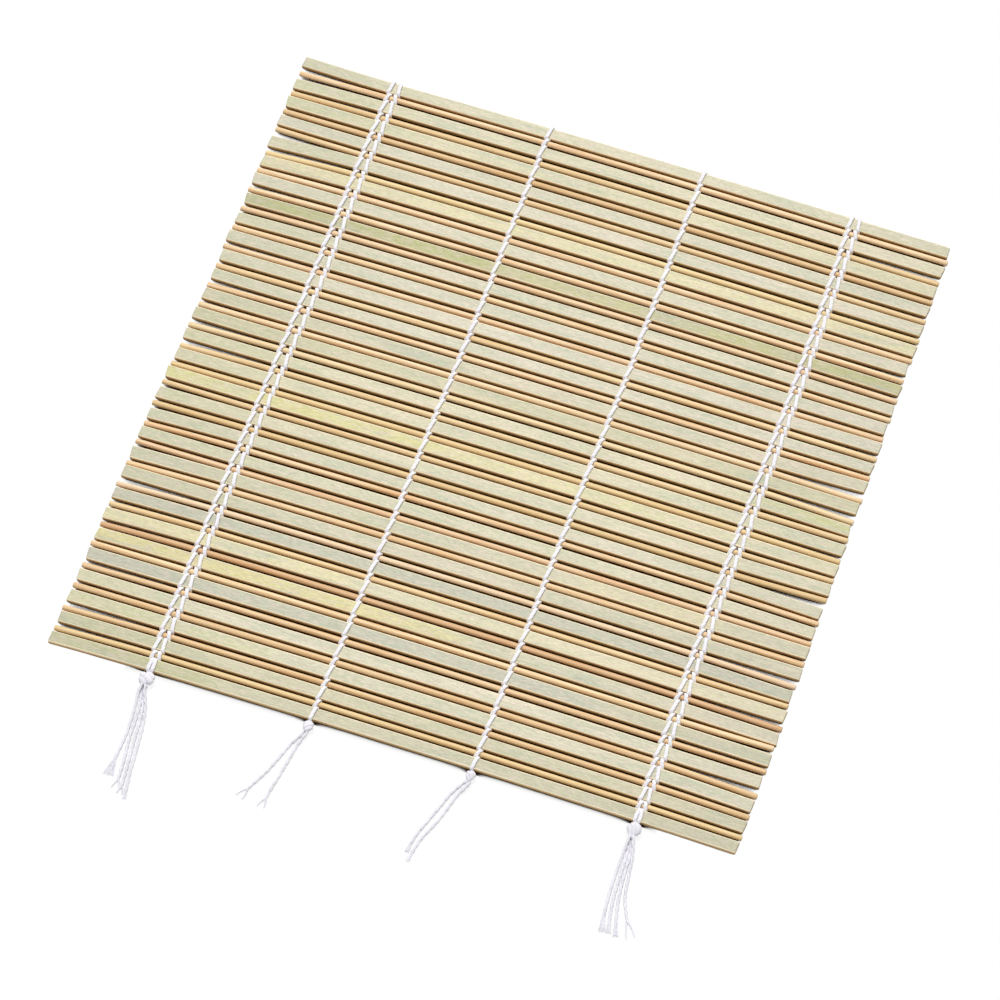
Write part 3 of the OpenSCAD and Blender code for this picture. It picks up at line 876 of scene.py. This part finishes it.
def knot_surface(x, w, long, high, reach, taper, tilt):
    """A tight round knot: a lumpy egg with its front drawn in, which reaches a little over
    the strands, wound round by three fat turns of string."""
    long += reach
    centre = np.array([x, KNOT_BACK - long / 2, high / 2 + KNOT_LIFT])
    size, half, thick = np.array([w, long, high]) / 2, 0.2 * w, 0.16 * w
    rows = np.linspace(0.06, np.pi - 0.06, 14)
    a = np.arange(16) * np.pi / 8

    def drawn(p):
        """Narrows X and Z towards the front by up to the taper."""
        f = 1 - taper * smooth(0.5 - p[..., 1:2] / long) ** 1.5
        return p * np.concatenate([f, np.ones_like(f), f], -1)

    def turn(offset):
        """One turn of string: a round section carried along the egg's section by a plane that
        slants by the tilt and lies off the middle, so that it lies in the egg's skin."""
        inner = size - thick
        n = np.array([math.sin(math.radians(tilt)), math.cos(math.radians(tilt)), 0.0])
        m = n * inner
        d = np.clip(offset / np.linalg.norm(m), -0.9, 0.9)
        m = unit(m)
        e1 = unit(np.cross(m, [0, 0, 1.0]))
        e2 = np.cross(m, e1)
        t = np.linspace(0, 2 * np.pi, 33)[:-1, None]
        p = (d * m + math.sqrt(1 - d * d) * (e1 * np.cos(t) + e2 * np.sin(t))) * inner
        outward = unit(p / inner**2)
        level = unit(n - outward * (outward @ n)[:, None])
        s = np.arange(10) * np.pi / 5
        ring = (p[:, None] + half * np.cos(s)[None, :, None] * level[:, None]
                + thick * np.sin(s)[None, :, None] * outward[:, None])
        return tube(drawn(ring) + centre, along=np.linspace(0, 6, 33)[:-1], closed=True)

    lump = 1 + 0.03 * np.sin(3 * a + 1.3 * rows[:, None] + tilt)
    egg = np.stack([np.sin(rows)[:, None] * np.cos(a) * lump, np.cos(rows)[:, None] * lump,
                    np.sin(rows)[:, None] * np.sin(a) * lump], -1) * (size - 0.12 * w)
    return gather([tube(drawn(egg) + centre, along=rows)]
                  + [turn(offset * w * 0.8) for offset in (-0.34, 0.02, 0.36)])


def loose_strand(route, end, look, seed):
    """One loose strand: two yarns wind round each other along the route, their centres on a
    helix. Near the end the helix stops turning and the yarns lean apart, thinner, or a brush
    of fine yarns fans out from inside them."""
    apart, spread, yarns = end
    rng = np.random.default_rng(seed)
    path, total = through(route, 0.28)
    s = np.linspace(0, total, len(path))
    slope = unit(np.gradient(path, axis=0))
    side = unit(np.cross(slope, [0, 0, 1.0]))
    up = np.cross(side, slope)
    fanned = yarns > 2
    open_at = smooth((s - total + apart) / apart)
    turning = np.cumsum(np.where(open_at > 0.5, 0.2, 1.0)) * s[1] * 2 * np.pi / look.twist
    phase = turning - turning[-1] + (np.pi if rng.random() < 0.5 else 0)
    parts, off = [], look.ply * 0.48

    def yarn(centres, radius, sides):
        """Adds one yarn's tube, lifted where it would sink into the ground."""
        centres[:, 2] = np.maximum(centres[:, 2], radius + 0.02)
        parts.append(tube(sweep(centres, radius, radius, sides, 2.0),
                          along=s[:len(centres)] / (look.twist * 0.5)))

    for k in (0, 1):
        a = phase + k * np.pi
        helix = (side * np.cos(a)[:, None] + up * np.sin(a)[:, None]) * off
        lean = math.copysign(1, math.cos(a[-1])) * spread * (0 if fanned else 1)
        droop = (path[:, 2:3] - look.ply - 0.03) * open_at[:, None] * [0, 0, 1]
        centres = path + helix + side * (lean * open_at**1.4)[:, None] - droop
        centres += side * (waves(s, seed * 31 + k, 3.5, 3) * 0.12 * open_at)[:, None]
        cut = np.searchsorted(s, total - apart * 0.75) if fanned else len(s) - k
        radius = look.ply * (1 - 0.4 * open_at[:cut])
        if fanned:
            radius *= 1 - 0.5 * smooth(s[:cut] - s[cut - 1] + 1)
        yarn(centres[:cut], radius, 8)
    if fanned:
        first = np.searchsorted(s, total - apart * 1.15)
        u = (s[first:] - s[first]) / (total - s[first])
        for k in range(yarns):
            lane = 2 * (k + 0.5) / yarns - 1
            x = lane * (0.32 + (spread - 0.32) * u**1.3) + 0.1 * u * waves(
                s[first:], seed * 57 + k, 2.5, 3)
            z = rng.uniform(-0.25, 0.3) * (1 - u)
            centres = path[first:] + side[first:] * x[:, None]
            centres[:, 2] += z - (path[first:, 2] - 0.2) * u * rng.uniform(0.2, 1)
            cut = len(centres) - int(rng.integers(0, 2))
            yarn(centres[:cut], np.full(cut, 1.2 * look.ply / math.sqrt(yarns)), 6)
    points, faces, uv = gather(parts)
    return (points, faces, uv), path, total


# Operators
def bamboo_piece(i, shape, material):
    """One slat or stick from its surface and attributes, in place of its CAD node."""
    surface, attributes = shape
    made = new_piece(PIECES[i] + "_bamboo", surface, material, sharp=38,
                     attributes=attributes)
    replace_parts(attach(made, PIECES[i]), PIECES[i])


def string_piece(name, surface, material, *bodies):
    """One piece of string in place of its share of the CAD's, which rides on one body. Given more,
    it stays where it is made, and the bodies, start and end are not used."""
    made = new_piece(name, surface, material, sharp=80)
    (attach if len(bodies) == 1 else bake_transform)(made, *bodies)
    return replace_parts(made, "binding_strings")


class ROLLINGMAT_OT_tassels(bpy.types.Operator):
    """The twelve loose strands of the four tassels"""

    bl_idname = "rolling_mat.tassels"
    bl_label = "Tassels"

    def execute(self, context):
        look = values_of(context.scene.mat_string)
        material = cotton(look, "two-ply cotton, loose strand", 0.1, look.loose, look.lilac)
        for n, (name, strands) in enumerate(TASSELS.items()):
            _, x, _, long, *_ = KNOTS[n]
            for k, (across, ahead, up, end) in enumerate(strands):
                route = np.stack([np.add(across, x), np.add(ahead, KNOT_BACK - long),
                                  (*up, *[LYING] * 4)], -1)
                surface, path, total = loose_strand(route, end, look, 40 * n + k + 1)
                made = string_piece(f"{name}_strand_{k + 1}", surface, material, "slat_01")
                ends = np.linspace(0, len(path) - 1, 32).round().astype(int)
                line = (laid(path[ends]) * MM).tolist()
        return {"FINISHED"}


class ROLLINGMAT_OT_slats(bpy.types.Operator):
    """The thirty flat bamboo slats"""

    bl_idname = "rolling_mat.slats"
    bl_label = "Slats"

    def execute(self, context):
        """Makes each slat in place of its CAD node."""
        look = values_of(context.scene.mat_bamboo)
        material = skin_bamboo(look)
        for i in range(0, len(PIECES), 2):
            bamboo_piece(i, slat_surface(i, look), material)
        return {"FINISHED"}


class ROLLINGMAT_OT_sticks(bpy.types.Operator):
    """The twenty-nine round sticks"""

    bl_idname = "rolling_mat.sticks"
    bl_label = "Sticks"

    def execute(self, context):
        """Makes each stick in place of its CAD node."""
        material = peeled_bamboo(values_of(context.scene.mat_bamboo))
        for i in range(1, len(PIECES), 2):
            bamboo_piece(i, stick_surface(i), material)
        return {"FINISHED"}


class ROLLINGMAT_OT_twining(bpy.types.Operator):
    """The six lines of twining, one piece for each gap"""

    bl_idname = "rolling_mat.twining"
    bl_label = "Twining"

    def execute(self, context):
        """Makes the string of each gap, and of the two outer slats."""
        look = values_of(context.scene.mat_string)
        material = cotton(look, "two-ply cotton, pulled tight", 0.45, look.cotton, look.lilac)
        for i in range(len(PIECES) - 1):
            string_piece(f"twining_{i + 1:02d}", gap_passes(i, look), material, PIECES[i],
                         PIECES[i + 1], (0, HIGH[i, 1] * MM, MID_Z * MM),
                         (0, LOW[i + 1, 1] * MM, MID_Z * MM))
        string_piece("far_turns", far_turns(look), material, PIECES[-1])
        string_piece("near_ends", near_ends(look), material, PIECES[0])
        return {"FINISHED"}


class ROLLINGMAT_OT_knots(bpy.types.Operator):
    """The four knots at the near edge"""

    bl_idname = "rolling_mat.knots"
    bl_label = "Knots"

    def execute(self, context):
        """Makes each knot from its row of KNOTS."""
        look = values_of(context.scene.mat_string)
        material = cotton(look, "two-ply cotton, knotted", 0.15, look.lilac, look.loose)
        for name, *shape in KNOTS:
            string_piece(name, knot_surface(*shape), material, "slat_01")
        return {"FINISHED"}


class ROLLINGMAT_OT_stage(bpy.types.Operator):
    """Plain pale floor, soft light and the camera"""

    bl_idname = "rolling_mat.stage"
    bl_label = "Stage"

    def execute(self, context):
        """Sets up the camera, the light and the floor."""
        look, scene = values_of(context.scene.mat_stage), context.scene
        scene.view_settings.view_transform = "Standard"
        # Camera: azimuth and elevation that it looks from, its roll, its aim and distance
        a, e, roll = (math.radians(v) for v in (20.591, 61.653, -1.489))
        aim, distance = Vector((0.00416, 0.00036, 0)), 1.67087
        back = Vector((math.sin(a) * math.cos(e), -math.cos(a) * math.cos(e), math.sin(e)))
        level = Vector((math.cos(a), math.sin(a), 0))
        over = back.cross(level)
        right = level * math.cos(roll) + over * math.sin(roll)
        up = over * math.cos(roll) - level * math.sin(roll)
        data = bpy.data.cameras.new("camera")
        data.lens, data.sensor_width = 178.64, 36
        scene.camera = placed("camera", data)
        scene.camera.matrix_world = Matrix.Translation(aim + back * distance) @ Matrix(
            (right, up, back)).transposed().to_4x4()
        # Key light: high over the far side, as wide as a softbox
        sun = bpy.data.lights.new("key light", "SUN")
        sun.energy, sun.angle = look.sun, math.radians(25)
        falls = Vector((0.12, -0.42, -0.9))
        placed("key light", sun).rotation_euler = falls.to_track_quat("-Z", "Y").to_euler()
        # World: even light all round, plain white to the camera
        scene.world = bpy.data.worlds.new("studio")
        add = new_nodes(scene.world)
        power = add("MapRange", {0: shows_white(add), 3: look.fill, 4: 1.0})
        shown = add("Background", {"Color": (1, 1, 1, 1), "Strength": power})
        add("OutputWorld", {"Surface": shown})
        # Floor: 6 m square, a hair below the mat
        corners = [(-3, -3), (3, -3), (3, 3), (-3, 3)]
        mesh = bpy.data.meshes.new("floor")
        mesh.from_pydata([(x, y, -0.1 * MM) for x, y in corners], [], [[0, 1, 2, 3]])
        mesh.materials.append(matt_paper(look))
        placed("floor", mesh)
        return {"FINISHED"}


class VIEW3D_PT_rolling_mat(bpy.types.Panel):
    """Lists the settings and the steps that build the mat"""

    bl_label = "Rolling mat"
    bl_space_type = "VIEW_3D"
    bl_region_type = "UI"
    bl_category = "Rolling mat"

    def draw(self, context):
        """Draws every setting, then a button for every step."""
        for group in (context.scene.mat_bamboo, context.scene.mat_string, context.scene.mat_stage):
            for key in group.bl_rna.properties.keys():
                if key not in ("rna_type", "name"):
                    self.layout.prop(group, key)
        for step in STEPS:
            self.layout.operator(step.bl_idname)


STEPS = (ROLLINGMAT_OT_stage, ROLLINGMAT_OT_tassels, ROLLINGMAT_OT_slats, ROLLINGMAT_OT_sticks,
         ROLLINGMAT_OT_twining, ROLLINGMAT_OT_knots)
CLASSES = (BambooSettings, StringSettings, StageSettings) + STEPS + (VIEW3D_PT_rolling_mat,)


def register():
    """Adds the classes to Blender, and the settings to the scene."""
    for c in CLASSES:
        bpy.utils.register_class(c)
    bpy.types.Scene.mat_bamboo = bpy.props.PointerProperty(type=BambooSettings)
    bpy.types.Scene.mat_string = bpy.props.PointerProperty(type=StringSettings)
    bpy.types.Scene.mat_stage = bpy.props.PointerProperty(type=StageSettings)


def unregister():
    """Takes away what register adds."""
    del bpy.types.Scene.mat_bamboo, bpy.types.Scene.mat_string, bpy.types.Scene.mat_stage
    for c in reversed(CLASSES):
        bpy.utils.unregister_class(c)


def main():
    """Builds the mat step by step."""
    register()
    for step in STEPS:
        group, name = step.bl_idname.split(".")
        getattr(getattr(bpy.ops, group), name)()


if __name__ == "__main__":
    main()
